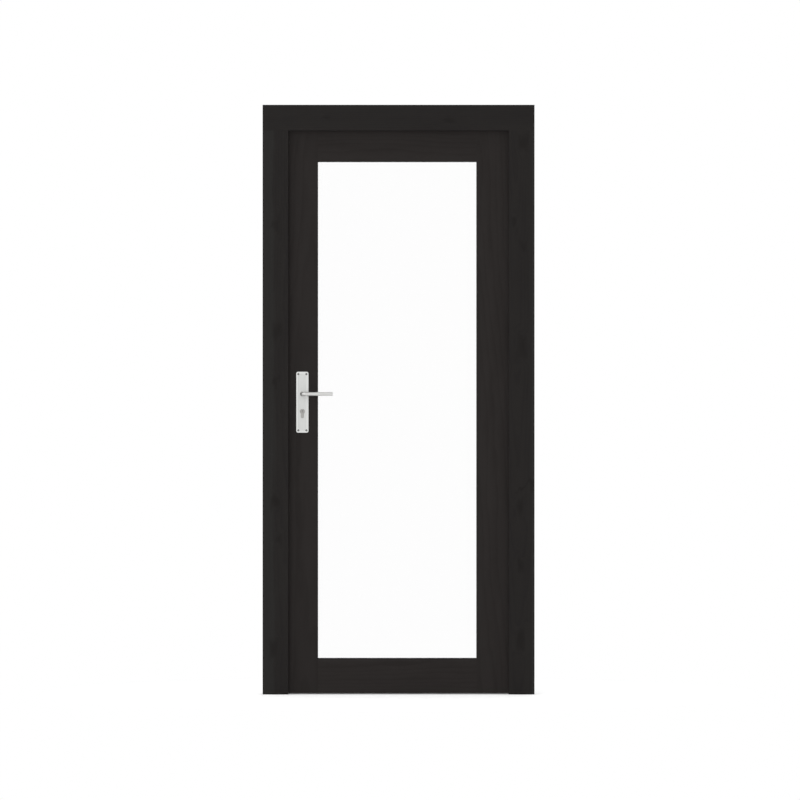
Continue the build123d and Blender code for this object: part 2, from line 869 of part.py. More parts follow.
def lever_bush():
    ring = Circle(bush_radius) - Circle(lever_radius + turn_fit)
    return through(ring, lock_x, lever_height, plate_face - bush_proud, leaf_front)


def plate_screws():
    return group(plate_screw(point) for point in plate_screw_points())


nodes = {
    "head": head(),
    "jamb_lock": jamb_lock(),
    "jamb_hinge": jamb_hinge(),
    "seal_head": head_seal(),
    "seal_lock": side_seal(-1),
    "seal_hinge": side_seal(1),
    "corner_screws": group(corner_screws()),
    "strike_plate": strike_plate(),
    "strike_screws": group(wood_screws(strike_screw_points(), (1, 0, 0))),
    "hinge_frame_screws": all_flap_screws(1),
    "hinge_leaf_screws": all_flap_screws(-1),
    "stile_lock": stile_lock(),
    "stile_hinge": stile_hinge(),
    "rail_top": rail_top(),
    "rail_bottom": rail_bottom(),
    "pane_outer": pane(unit_front),
    "pane_inner": pane(unit_back - pane_thickness),
    "spacer_bar": spacer_bar(),
    "edge_sealant": sight_ring(spacer_out, unit_out, unit_front + pane_thickness, unit_back - pane_thickness),
    "glazing_tape_outer": glazing_tape(lip_back),
    "glazing_tape_inner": glazing_tape(unit_back),
    "glazing_blocks": glazing_blocks(),
    "lock_case": lock_case(),
    "lock_cover": lock_cover(),
    "lock_faceplate": lock_faceplate(),
    "faceplate_screws": group(wood_screws(faceplate_screw_points(), (-1, 0, 0))),
    "cylinder_body": cylinder_body(),
    "cylinder_screw": cylinder_screw_body(),
    "cylinder_plug_outer": cylinder_plug(),
    "cylinder_plug_inner": other_side(cylinder_plug()),
    "cylinder_cam": cylinder_cam(),
    "follower": follower(),
    "spindle": spindle(),
    "latch_bolt": latch_bolt(),
    "dead_bolt": dead_bolt(),
    "lever_outer": lever(),
    "lever_inner": other_side(lever()),
    "lever_grub_screws": grub_screws(),
    "lever_bush_outer": lever_bush(),
    "lever_bush_inner": other_side(lever_bush()),
    "backplate_outer": backplate(),
    "backplate_inner": other_side(backplate()),
    "plate_screws_outer": plate_screws(),
    "plate_screws_inner": other_side(plate_screws()),
}
for name in ("lock", "hinge", "top", "bottom"):
    nodes["bead_" + name] = bead(name)
for name, z in hinge_heights.items():
    nodes["hinge_flap_frame_" + name] = hinge_flap(1, z)
    nodes["hinge_flap_leaf_" + name] = hinge_flap(-1, z)
    nodes["hinge_pin_" + name] = hinge_pin(z)

os.makedirs("parts", exist_ok=True)
for name, shape in nodes.items():
    export_step(shape, f"parts/{name}.step")
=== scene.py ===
import math

import bmesh
import bpy
from mathutils import Matrix, Vector


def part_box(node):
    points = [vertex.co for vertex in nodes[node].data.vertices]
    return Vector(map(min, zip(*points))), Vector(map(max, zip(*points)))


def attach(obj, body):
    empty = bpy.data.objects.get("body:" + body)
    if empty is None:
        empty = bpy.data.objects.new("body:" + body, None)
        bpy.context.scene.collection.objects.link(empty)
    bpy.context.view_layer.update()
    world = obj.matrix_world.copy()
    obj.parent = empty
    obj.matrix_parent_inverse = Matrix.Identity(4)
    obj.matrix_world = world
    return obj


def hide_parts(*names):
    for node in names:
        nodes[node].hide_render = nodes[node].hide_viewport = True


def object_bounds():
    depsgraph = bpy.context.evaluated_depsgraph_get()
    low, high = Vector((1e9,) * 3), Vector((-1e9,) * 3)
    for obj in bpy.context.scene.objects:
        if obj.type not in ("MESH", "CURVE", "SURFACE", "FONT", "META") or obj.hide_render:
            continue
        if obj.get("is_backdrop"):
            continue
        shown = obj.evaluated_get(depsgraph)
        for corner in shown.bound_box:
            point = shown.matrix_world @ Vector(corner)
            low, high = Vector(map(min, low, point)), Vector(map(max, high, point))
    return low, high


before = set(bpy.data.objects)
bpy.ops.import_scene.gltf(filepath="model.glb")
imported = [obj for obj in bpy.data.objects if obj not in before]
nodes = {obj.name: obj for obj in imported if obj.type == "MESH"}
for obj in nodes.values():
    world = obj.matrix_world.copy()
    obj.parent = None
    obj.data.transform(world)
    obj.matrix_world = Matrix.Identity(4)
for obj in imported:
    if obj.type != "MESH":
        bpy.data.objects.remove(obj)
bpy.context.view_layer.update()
print("frame loaded")

mm = 0.001


def toLinear(code):
    # An sRGB hex colour as the linear one that nodes use
    parts = [int(code[i:i + 2], 16) / 255 for i in (1, 3, 5)]
    return [p / 12.92 if p <= 0.04045 else ((p + 0.055) / 1.055) ** 2.4 for p in parts] + [1.0]


def feed(tree, node, inputs):
    # Sets or links a node's inputs. Each is a plain value, a socket, or a node, whose first live output
    # is taken.
    for key, value in inputs.items() if isinstance(inputs, dict) else enumerate(inputs):
        if isinstance(value, bpy.types.Node):
            value = next(socket for socket in value.outputs if socket.enabled)
        if isinstance(value, bpy.types.NodeSocket):
            tree.links.new(value, node.inputs[key])
        else:
            node.inputs[key].default_value = value


def addNode(tree, kind, inputs=(), operation=None, stops=(), **settings):
    # Adds one node with its settings and links. A colour ramp's stops are pairs of a position and a hex
    # colour or grey level.
    node = tree.nodes.new("ShaderNode" + kind)
    if operation:
        node.operation = operation
    for key, value in settings.items():
        setattr(node, key, value)
    while stops and len(node.color_ramp.elements) < len(stops):
        node.color_ramp.elements.new(0.5)
    for element, (position, colour) in zip(node.color_ramp.elements if stops else (), stops):
        element.position = position
        element.color = toLinear(colour) if isinstance(colour, str) else [colour] * 3 + [1.0]
    feed(tree, node, inputs)
    return node


def newMaterial(name, **values):
    # A material with its Principled shader's plain values set, and the object's own coordinates
    material = bpy.data.materials.new(name)
    material.use_nodes = True
    tree = material.node_tree
    shader = tree.nodes["Principled BSDF"]
    for key, value in values.items():
        socket = shader.inputs[key.replace("_", " ")]
        socket.default_value = toLinear(value) if isinstance(value, str) else value
    return material, tree, shader, addNode(tree, "TexCoord").outputs["Object"]


# Stained pine: planed softwood under a near-black open-pored stain, so growth rings, knots and fibre show
# only as a slight change of tone, and the sheen is low
pine = {
    "frame": ("#272524", "#222020"),  # the pale wood grown in spring, and the dark of late summer
    "leaf": ("#2c2928", "#262322"),
    "sap": "#2a2928",
    "knot": "#1f1d1c",
    "ringWidth": 8.5,
    "ring": [(0.0, 0.0), (0.5, 0.2), (0.85, 1.0), (1.0, 0.0)],  # each ring darkens slowly and ends sharply
    "fibreWidth": 0.9,
    "fibreLength": 55,
    "drift": ((9, 9, 1.1), 42),  # repeats per metre across, in depth and along, and the swing in mm
    "ripple": ((45, 45, 12), 4),
    "patch": (24, 24, 3.5),  # where the stain took unevenly
    "bend": (0.03, 0, 0.07),  # how far a knot's outline strays, in metres
    "knotReach": 1.7,
    "knotLength": 0.45,
    "tail": (-0.6, 0.7),  # a knot's tail curves to one side or the other
    "arch": 1.9,  # how far out an arched line runs over its knot
    "sapEdge": 6,
    "sapStray": 30,
    "grainDepth": 0.25,
    "roughness": 0.62,
    "shine": 0.05,
}


def stainedPine(name, along, heart, lean, knots, toneWithPaintedLight=1.0, sap=None, part="leaf"):
    # The rings run round a heart at (across, depth), which leans as it goes along, and bend round each knot.
    # sap is where the paler sapwood begins across the member, and on which side it lies.
    material, tree, shader, spot = newMaterial(name, Specular_IOR_Level=pine["shine"])
    x, y, z = addNode(tree, "SeparateXYZ", (spot,)).outputs
    up, across = (z, x) if along == "Z" else (x, z)
    point = addNode(tree, "CombineXYZ", (across, y, up))
    width, length = 1 / (pine["fibreWidth"] * mm), 1 / (pine["fibreLength"] * mm)
    patterns = []
    for repeats, detail, roughness in (
        (pine["drift"][0], 2.0, 0.5), (pine["ripple"][0], 1.0, 0.5),
        ((width, width, length), 3.0, 0.6), (pine["patch"], 3.0, 0.55),
    ):
        place = addNode(tree, "VectorMath", (point, repeats), "MULTIPLY")
        look = {"Vector": place, "Scale": 1.0, "Detail": detail, "Roughness": roughness}
        patterns.append(addNode(tree, "TexNoise", look))
    drift, ripple, fibre, patch = patterns

    line = [addNode(tree, "Math", (up, lean[i], heart[i] * mm), "MULTIPLY_ADD") for i in (0, 1)]
    offset = addNode(tree, "VectorMath", (point, addNode(tree, "CombineXYZ", line)), "SUBTRACT")
    flat = addNode(tree, "VectorMath", (offset, (1, 1, 0)), "MULTIPLY")
    radius = addNode(tree, "VectorMath", (flat,), "LENGTH")
    for wave, swing in ((drift, pine["drift"][1] * mm), (ripple, pine["ripple"][1] * mm)):
        stray = addNode(tree, "Math", (wave, swing, -swing / 2), "MULTIPLY_ADD")
        radius = addNode(tree, "Math", (radius, stray), "ADD")

    core = None
    bent = addNode(tree, "VectorMath", (ripple.outputs["Color"], pine["bend"], point), "MULTIPLY_ADD")
    for i, (knotAcross, knotUp, size, *arch) in enumerate(knots):
        reach = pine["knotReach"] * size * mm
        middle = (knotAcross * mm + pine["bend"][0] / 2, 0, knotUp * mm + pine["bend"][2] / 2)
        away = addNode(tree, "VectorMath", (bent, middle), "SUBTRACT")
        away = addNode(tree, "VectorMath", (away, (1 / reach, 0, pine["knotLength"] / reach)), "MULTIPLY")
        awayX, _, awayZ = addNode(tree, "SeparateXYZ", (away,)).outputs
        rise = addNode(tree, "Math", (awayZ, awayZ), "MULTIPLY")
        awayX = addNode(tree, "Math", (rise, pine["tail"][i % 2], awayX), "MULTIPLY_ADD")
        square = addNode(tree, "Math", (awayX, awayX, rise), "MULTIPLY_ADD")
        pull = addNode(tree, "Math", (square, -1.0), "MULTIPLY")
        pull = addNode(tree, "Math", (math.e, pull), "POWER")
        radius = addNode(tree, "Math", (pull, 1.5 * size * mm, radius), "MULTIPLY_ADD")
        core = addNode(tree, "Math", (core, pull), "MAXIMUM") if core else pull
        if arch:  # a dark line that runs over the knot
            rim = addNode(tree, "Math", (addNode(tree, "Math", (square,), "SQRT"), pine["arch"]), "SUBTRACT")
            rim = addNode(tree, "Math", (rim, 3.2), "MULTIPLY")
            rim = addNode(tree, "Math", (addNode(tree, "Math", (rim, rim), "MULTIPLY"), -1.0), "MULTIPLY")
            rim = addNode(tree, "Math", (math.e, rim), "POWER")
            over = addNode(tree, "Math", (awayZ, 1.2, -0.6), "MULTIPLY_ADD", use_clamp=True)
            rim = addNode(tree, "Math", (rim, over), "MULTIPLY")
            core = addNode(tree, "Math", (core, rim), "MAXIMUM")

    ring = addNode(tree, "Math", (radius, pine["ringWidth"] * mm), "DIVIDE")
    ring = addNode(tree, "Math", (ring,), "FRACT")
    rings = addNode(tree, "ValToRGB", (ring,), stops=pine["ring"])

    amount = addNode(tree, "Math", (rings, 0.45, 0.1), "MULTIPLY_ADD")
    stray = addNode(tree, "Math", (fibre, 0.8, -0.4), "MULTIPLY_ADD")
    amount = addNode(tree, "Math", (amount, stray), "ADD")
    stray = addNode(tree, "Math", (patch, 1.5, -0.75), "MULTIPLY_ADD")
    amount = addNode(tree, "Math", (amount, stray), "ADD", use_clamp=True)
    early, late = (toLinear(colour) for colour in pine[part])
    if sap:
        swing = pine["sapStray"] * mm
        stray = addNode(tree, "Math", (patch, swing, -swing / 2), "MULTIPLY_ADD")
        edge = addNode(tree, "Math", (across, stray), "ADD")
        ends = [(sap[0] + way * sap[1] * pine["sapEdge"]) * mm for way in (1, -1)]
        side = addNode(tree, "MapRange", {"Value": edge, "From Min": ends[0], "From Max": ends[1]})
        early = addNode(tree, "Mix", {0: side, 6: toLinear(pine["sap"]), 7: early}, data_type="RGBA")
        less = addNode(tree, "Math", (side, 0.7, 0.3), "MULTIPLY_ADD")
        amount = addNode(tree, "Math", (amount, less), "MULTIPLY")
    colour = addNode(tree, "Mix", {0: amount, 6: early, 7: late}, data_type="RGBA")
    if core:
        dark = addNode(tree, "Math", (core, 0.4), "SUBTRACT")
        dark = addNode(tree, "Math", (dark, 1.15), "MULTIPLY", use_clamp=True)
        colour = addNode(tree, "Mix", {0: dark, 6: colour, 7: toLinear(pine["knot"])}, data_type="RGBA")
    # A tone other than 1 scales the colour's value; on the rails this is painted light
    if toneWithPaintedLight != 1.0:
        colour = addNode(tree, "HueSaturation", {"Color": colour, "Value": toneWithPaintedLight})
    height = addNode(tree, "Math", (fibre, 0.7), "MULTIPLY")
    height = addNode(tree, "Math", (rings, 0.3, height), "MULTIPLY_ADD")
    relief = {"Height": height, "Distance": pine["grainDepth"] * mm, "Strength": 0.5}
    feed(tree, shader, {
        "Base Color": colour,
        "Roughness": addNode(tree, "Math", (fibre, 0.16, pine["roughness"] - 0.08), "MULTIPLY_ADD"),
        "Normal": addNode(tree, "Bump", relief),
    })
    return material


def dress(material, *names):
    for name in names:
        mesh = nodes[name].data
        mesh.materials.clear()
        mesh.materials.append(material)


# Each member's grain in mm. A knot is its place across and along, and its size.
timber = {
    "head": dict(part="frame", along="X", heart=(2230, -120), lean=(0.01, 0.03), knots=[
        (2078, -260, 7), (2072, 180, 9),
    ]),
    "jamb_lock": dict(part="frame", along="Z", heart=(-400, 30), lean=(0.012, -0.02), sap=(-449, -1), knots=[
        (-441, 1690, 12), (-438, 1313, 13), (-441, 1120, 9), (-446, 683, 10), (-430, 560, 8), (-449, 165, 14),
    ]),
    "jamb_hinge": dict(part="frame", along="Z", heart=(440, 30), lean=(-0.01, -0.03), sap=(478, 1), knots=[
        (450, 1985, 12), (420, 1696, 7), (448, 1620, 7), (446, 1250, 15), (436, 684, 11, "arch"),
        (441, 470, 9), (438, 200, 13),
    ]),
    "stile_lock": dict(along="Z", heart=(-330, 210), lean=(0.02, 0.01), knots=[], toneWithPaintedLight=0.96),
    "stile_hinge": dict(along="Z", heart=(300, 190), lean=(-0.02, 0.02), knots=[]),
    # The rails' tones are painted light: the bottom rail lighter and the top rail darker, evening out the light
    # that falls off towards the floor
    "rail_top": dict(along="X", heart=(1900, 160), lean=(0.02, 0.01), knots=[], toneWithPaintedLight=0.98),
    "rail_bottom": dict(along="X", heart=(180, 170), lean=(-0.02, 0.02), knots=[], toneWithPaintedLight=1.04),
    "bead_lock": dict(along="Z", heart=(-330, 120), lean=(0.01, 0.0), knots=[]),
    "bead_hinge": dict(along="Z", heart=(310, 120), lean=(0.01, 0.0), knots=[]),
    "bead_top": dict(along="X", heart=(1950, 120), lean=(0.01, 0.0), knots=[]),
    "bead_bottom": dict(along="X", heart=(90, 120), lean=(0.01, 0.0), knots=[]),
}
for name, wood in timber.items():
    dress(stainedPine("stained pine " + name.replace("_", " "), **wood), name)
print("timber stained")

# Float glass: clear, with the faint waviness of a rolled ribbon
glass, tree, shader, spot = newMaterial(
    "float glass", Base_Color="#FEFEFE", Transmission_Weight=1.0, IOR=1.52, Roughness=0.0,
)
place = addNode(tree, "VectorMath", (spot, (3, 3, 1.2)), "MULTIPLY")
wave = addNode(tree, "TexNoise", {"Vector": place, "Scale": 1.0, "Detail": 1.0})
feed(tree, shader, {"Normal": addNode(tree, "Bump", {"Height": wave, "Distance": 0.05 * mm, "Strength": 0.2})})
dress(glass, "pane_outer", "pane_inner")


def brushedMetal(name, light, dark, rough, grain, depth):
    # grain is the brush lines' repeats per metre along each axis, and depth is theirs in mm
    material, tree, shader, spot = newMaterial(name, Metallic=1.0)
    place = addNode(tree, "VectorMath", (spot, grain), "MULTIPLY")
    lines = addNode(tree, "TexNoise", {"Vector": place, "Scale": 1.0, "Detail": 3.0, "Roughness": 0.6})
    place = addNode(tree, "VectorMath", (spot, (40, 40, 40)), "MULTIPLY")
    cloud = addNode(tree, "TexNoise", {"Vector": place, "Scale": 1.0, "Detail": 2.0})
    cloud = addNode(tree, "Math", (cloud, 0.35), "MULTIPLY")
    both = addNode(tree, "Math", (lines, 0.65, cloud), "MULTIPLY_ADD")
    feed(tree, shader, {
        "Base Color": addNode(tree, "ValToRGB", (both,), stops=[(0.3, dark), (0.7, light)]),
        "Roughness": addNode(tree, "Math", (both, 0.14, rough - 0.07), "MULTIPLY_ADD"),
        "Normal": addNode(tree, "Bump", {"Height": lines, "Distance": depth * mm, "Strength": 0.35}),
    })
    return material


# Satin anodised aluminium: fine upright brush lines under a matt, slightly milky anodised skin
plateAluminium = brushedMetal("satin anodised aluminium", "#DFE0DE", "#D5D6D4", 0.42, (2500, 2500, 40), 0.04)
# The same metal on the lever, brushed round the bar
leverAluminium = brushedMetal("satin anodised lever", "#DDDDDB", "#D1D1CF", 0.36, (2200, 400, 400), 0.03)
# Satin stainless steel: rolled lines that run up the strip
stripSteel = brushedMetal("satin stainless steel", "#BDBCB8", "#A8A7A3", 0.36, (3000, 3000, 60), 0.03)
# Zinc plated steel: bluish and cloudy, duller than the stainless
zincSteel = brushedMetal("zinc plated steel", "#B3B7BC", "#959A9F", 0.42, (350, 350, 350), 0.03)
# Nickel plated brass: warm grey, satin, a little dull
nickelBrass = brushedMetal("nickel plated brass", "#BAB9B6", "#A4A3A0", 0.38, (900, 900, 900), 0.02)
# Dark grey steel of the plates' screws, its darkness partly painted shade for their sunk heads, with brighter
# scuffs left by the driver
shadedScrewSteel = brushedMetal("dark steel with painted shade", "#6C6B69", "#4A4948", 0.45, (1400, 1400, 1400), 0.02)
# Mill finish aluminium of the spacer bar
millAluminium = brushedMetal("mill aluminium", "#C4C5C6", "#AEB0B2", 0.45, (60, 1800, 1800), 0.02)
dress(plateAluminium, "backplate_outer", "backplate_inner")
dress(leverAluminium, "lever_outer", "lever_inner")
dress(stripSteel, "strike_plate", "lock_faceplate", *[n for n in nodes if n.startswith("hinge_")])
dress(zincSteel, "corner_screws", "strike_screws", "faceplate_screws", "cylinder_screw", "lever_grub_screws",
      "plate_screws_outer", "plate_screws_inner", "spindle", "follower", "lock_case", "lock_cover",
      "cylinder_cam")
dress(nickelBrass, "cylinder_body", "cylinder_plug_outer", "cylinder_plug_inner", "latch_bolt", "dead_bolt")
dress(millAluminium, "spacer_bar")


def mattPolymer(name, light, dark, rough, grit, depth):
    # Moulded or extruded polymer with a fine grit in its skin, whose size and depth are in mm
    material, tree, shader, spot = newMaterial(name, Specular_IOR_Level=0.3)
    place = addNode(tree, "VectorMath", (spot, (1 / (grit * mm),) * 3), "MULTIPLY")
    speck = addNode(tree, "TexNoise", {"Vector": place, "Scale": 1.0, "Detail": 3.0})
    feed(tree, shader, {
        "Base Color": addNode(tree, "ValToRGB", (speck,), stops=[(0.3, dark), (0.7, light)]),
        "Roughness": addNode(tree, "Math", (speck, 0.16, rough - 0.08), "MULTIPLY_ADD"),
        "Normal": addNode(tree, "Bump", {"Height": speck, "Distance": depth * mm, "Strength": 0.4}),
    })
    return material


# Extruded EPDM: dead black with a faint bloom
rubber = mattPolymer("extruded EPDM rubber", "#1B1B1C", "#121213", 0.72, 0.8, 0.05)
# Butyl and polysulphide edge seal: black and smooth
sealant = mattPolymer("black edge sealant", "#191919", "#101010", 0.5, 3.0, 0.1)
# Glazing blocks: recycled hard plastic
blockPlastic = mattPolymer("hard plastic block", "#3C3D3E", "#303132", 0.5, 1.5, 0.05)
# Nylon bushes: milky grey
nylon = mattPolymer("milky nylon", "#A3A29D", "#979691", 0.45, 1.2, 0.03)
dress(rubber, "seal_head", "seal_lock", "seal_hinge", "glazing_tape_outer", "glazing_tape_inner")
dress(sealant, "edge_sealant")
dress(blockPlastic, "glazing_blocks")
dress(nylon, "lever_bush_outer", "lever_bush_inner")
print("metal, glass and rubber dressed")


def selectOnly(*pieces):
    bpy.ops.object.select_all(action="DESELECT")
    for piece in pieces:
        piece.select_set(True)
    bpy.context.view_layer.objects.active = pieces[0]


def added(kind, at, name=None, turn=(0, 0, 0), scale=(1, 1, 1), **sizes):
    # Adds a primitive and puts its place and turn into its mesh
    bpy.ops.object.select_all(action="DESELECT")
    getattr(bpy.ops.mesh, f"primitive_{kind}_add")(location=at, rotation=turn, **sizes)
    piece = bpy.context.object
    piece.scale = scale
    bpy.ops.object.transform_apply(location=True, rotation=True, scale=True)
    if name:
        piece.name = name
    return piece


def edit(piece):
    selectOnly(piece)
    bpy.ops.object.mode_set(mode="EDIT")


def finished(piece, angle=30, merge=True):
    # Leaves edit mode with doubles merged, faces outwards and soft shading up to that angle
    if piece.mode != "EDIT":
        edit(piece)
    bpy.ops.mesh.select_all(action="SELECT")
    if merge:
        bpy.ops.mesh.remove_doubles(threshold=0.00001)
    bpy.ops.mesh.normals_make_consistent(inside=False)
    bpy.ops.object.mode_set(mode="OBJECT")
    selectOnly(piece)
    bpy.ops.object.shade_smooth_by_angle(angle=math.radians(angle))
    return piece


def pick(kind, test):
    # In edit mode, selects the faces, edges or points whose middle (and normal, for a face) passes the test
    bpy.ops.mesh.select_mode(type=kind)
    bpy.ops.mesh.select_all(action="DESELECT")
    mesh = bmesh.from_edit_mesh(bpy.context.object.data)
    for part in {"FACE": mesh.faces, "EDGE": mesh.edges, "VERT": mesh.verts}[kind]:
        if kind == "FACE":
            chosen = test(part.calc_center_median(), part.normal)
        elif kind == "EDGE":
            a, b = (v.co for v in part.verts)
            chosen = test((a + b) / 2, b - a)
        else:
            chosen = test(part.co)
        if chosen:
            part.select_set(True)
    bmesh.update_edit_mesh(bpy.context.object.data)


def withModifier(piece, kind, **settings):
    selectOnly(piece)
    modifier = piece.modifiers.new(kind.lower(), kind)
    for key, value in settings.items():
        setattr(modifier, key, value)
    bpy.ops.object.modifier_apply(modifier=modifier.name)
    return piece


def cut(piece, *cutters):
    # Takes the cutters out of the piece and deletes them
    for cutter in cutters:
        withModifier(piece, "BOOLEAN", operation="DIFFERENCE", object=cutter, solver="EXACT")
        bpy.data.objects.remove(cutter)
    return piece


def joined(pieces, name):
    selectOnly(*pieces)
    if len(pieces) > 1:
        bpy.ops.object.join()
    bpy.context.object.name = name
    return bpy.context.object


def copied(piece, matrix):
    # A copy with its own mesh, moved in its mesh
    other = piece.copy()
    other.data = piece.data.copy()
    other.data.transform(matrix)
    bpy.context.scene.collection.objects.link(other)
    return other


def settle(piece, body, material, slot, *replaced):
    # Gives a finished piece its material, the body it moves with and the CAD nodes it stands for
    piece.data.materials.clear()
    piece.data.materials.append(material)
    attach(piece, body)
    if replaced:
        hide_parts(*replaced)


def looseParts(node):
    # The lowest and highest corner of each separate solid in a CAD node
    mesh = bmesh.new()
    mesh.from_mesh(nodes[node].data)
    bmesh.ops.remove_doubles(mesh, verts=mesh.verts, dist=0.000001)
    left, parts = set(mesh.verts), []
    while left:
        found, edge = set(), [next(iter(left))]
        while edge:
            vert = edge.pop()
            if vert in found:
                continue
            found.add(vert)
            edge += [e.other_vert(vert) for e in vert.link_edges]
        left -= found
        low = Vector([min(v.co[i] for v in found) for i in range(3)])
        high = Vector([max(v.co[i] for v in found) for i in range(3)])
        parts.append((low, high))
    mesh.free()
    return sorted(parts, key=lambda part: tuple(round(x, 4) for x in part[0]))


# Lever: one 14 mm bar, bent at the neck and cut square at its end, with a bore for the spindle
lever = {
    "sides": 56, "bend": 12, "bendSteps": 16, "endRound": 0.7, "bore": 11.5, "boreDeep": 20.3, "boreEnd": 4,
    "grubHole": 5.1, "grubReach": 4.5,
}


def makeLever(name, node, grub):
    low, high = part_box(node)
    out = 1 if high.y > 0 else -1
    radius = (high.z - low.z) / 2
    bend = lever["bend"] * mm
    x, z = low.x + radius, (low.z + high.z) / 2
    start, line = (low.y, high.y - radius) if out > 0 else (high.y, low.y + radius)
    piece = added("circle", (x, start, z), name, turn=(math.pi / 2, 0, 0), vertices=lever["sides"],
                  radius=radius)
    edit(piece)
    bpy.ops.mesh.select_all(action="SELECT")
    bpy.ops.mesh.extrude_region_move(TRANSFORM_OT_translate={"value": (0, line - out * bend - start, 0)})
    bpy.ops.mesh.spin(steps=lever["bendSteps"], angle=out * math.pi / 2, axis=(0, 0, 1),
                      center=(x + bend, line - out * bend, z))
    bpy.ops.mesh.extrude_region_move(TRANSFORM_OT_translate={"value": (high.x - x - bend, 0, 0)})
    bpy.ops.mesh.edge_face_add()
    bpy.ops.mesh.bevel(offset=lever["endRound"] * mm, segments=3, affect="EDGES")
    pick("EDGE", lambda at, way: abs(at.y - start) < 0.00001)
    bpy.ops.mesh.edge_face_add()
    bpy.ops.mesh.inset(thickness=radius - lever["bore"] / 2 * mm)
    straight = abs(high.y if out > 0 else low.y) - abs(start) - radius
    socket = min(straight - lever["boreEnd"] * mm, lever["boreDeep"] * mm)
    bpy.ops.mesh.extrude_region_move(TRANSFORM_OT_translate={"value": (0, out * socket, 0)})
    finished(piece, 40)
    cutter = added("cylinder", ((grub[0].x + grub[1].x) / 2, (grub[0].y + grub[1].y) / 2, z - radius),
                   vertices=24, radius=lever["grubHole"] / 2 * mm, depth=2 * (radius - lever["grubReach"] * mm))
    return finished(cut(piece, cutter), 40)


grubs = sorted(looseParts("lever_grub_screws"), key=lambda part: part[0].y)
for name, node, grub in (("leverOuter", "lever_outer", grubs[0]), ("leverInner", "lever_inner", grubs[-1])):
    settle(makeLever(name, node, grub), "handle", leverAluminium, "satin_aluminium", node)
print("levers bent")


# Backplate: a flat border with a softened edge, and a raised field with the bush's and cylinder's holes
# borderHighlight is the flat border's colour, a painted highlight lighter than the field
plate = {
    "borderHighlight": "#E4E5E3", "corner": 6.5, "rimTop": 2.0, "rimRound": 0.6, "border": 8.2,
    "fieldCorner": 1.5, "fieldSlope": 0.9, "gap": 0.35,
    "fieldSink": 0.5, "screwFit": 0.1, "screwSink": 0.07,
}


profile = {"barrel": 8.5, "leg": 5, "drop": 24.5, "barrelSteps": 44, "legSteps": 16}


def profilePrism(x, y0, y1, z, grow):
    # The shape of a profile cylinder: a round barrel with a round-ended leg below, swept from an edge along y
    radius, leg, drop = (profile[part] * mm + grow for part in ("barrel", "leg", "drop"))
    join = z - math.sqrt(radius ** 2 - leg ** 2)
    legMiddle = z - drop + leg
    piece = added("plane", (x + leg / 2, (y0 + y1) / 2, join), size=1, scale=(leg, y1 - y0, 1))
    edit(piece)
    bpy.ops.mesh.delete(type="ONLY_FACE")
    pick("VERT", lambda at: at.x < x + leg / 2)
    bpy.ops.mesh.delete(type="VERT")
    bpy.ops.mesh.select_all(action="SELECT")
    side = math.asin(leg / radius)
    turn = 2 * (math.pi - side)
    bpy.ops.mesh.spin(steps=profile["barrelSteps"], angle=turn, axis=(0, 1, 0), center=(x, 0, z))
    bpy.ops.mesh.extrude_region_move(TRANSFORM_OT_translate={"value": (0, 0, legMiddle - join)})
    bpy.ops.mesh.spin(steps=profile["legSteps"], angle=math.pi, axis=(0, 1, 0), center=(x, 0, legMiddle))
    bpy.ops.mesh.extrude_region_move(TRANSFORM_OT_translate={"value": (0, 0, join - legMiddle)})
    bpy.ops.mesh.select_all(action="SELECT")
    bpy.ops.mesh.remove_doubles(threshold=0.00001)
    for end in (y0, y1):
        pick("EDGE", lambda at, way: abs(at.y - end) < 0.00001)
        bpy.ops.mesh.edge_face_add()
    return finished(piece)


def paintBorderHighlight(material, low, high):
    # Painted highlight: the flat border gets a lighter flat colour than the brushed field, standing in for the
    # light its rim catches, so its brush lines hardly show
    tree = material.node_tree
    shader = tree.nodes["Principled BSDF"]
    brushed = shader.inputs["Base Color"].links[0].from_socket
    across, _, up = addNode(tree, "SeparateXYZ", (addNode(tree, "TexCoord").outputs["Object"],)).outputs
    inside = 1.0
    for value, start, end in ((across, low.x, high.x), (up, low.z, high.z)):
        away = addNode(tree, "Math", (value, (start + end) / 2), "SUBTRACT")
        away = addNode(tree, "Math", (away,), "ABSOLUTE")
        within = addNode(tree, "Math", (away, (end - start) / 2 - plate["border"] * mm), "LESS_THAN")
        inside = addNode(tree, "Math", (inside, within), "MULTIPLY")
    light = toLinear(plate["borderHighlight"])
    shade = addNode(tree, "Mix", {0: inside, 6: light, 7: brushed}, data_type="RGBA")
    feed(tree, shader, {"Base Color": shade})


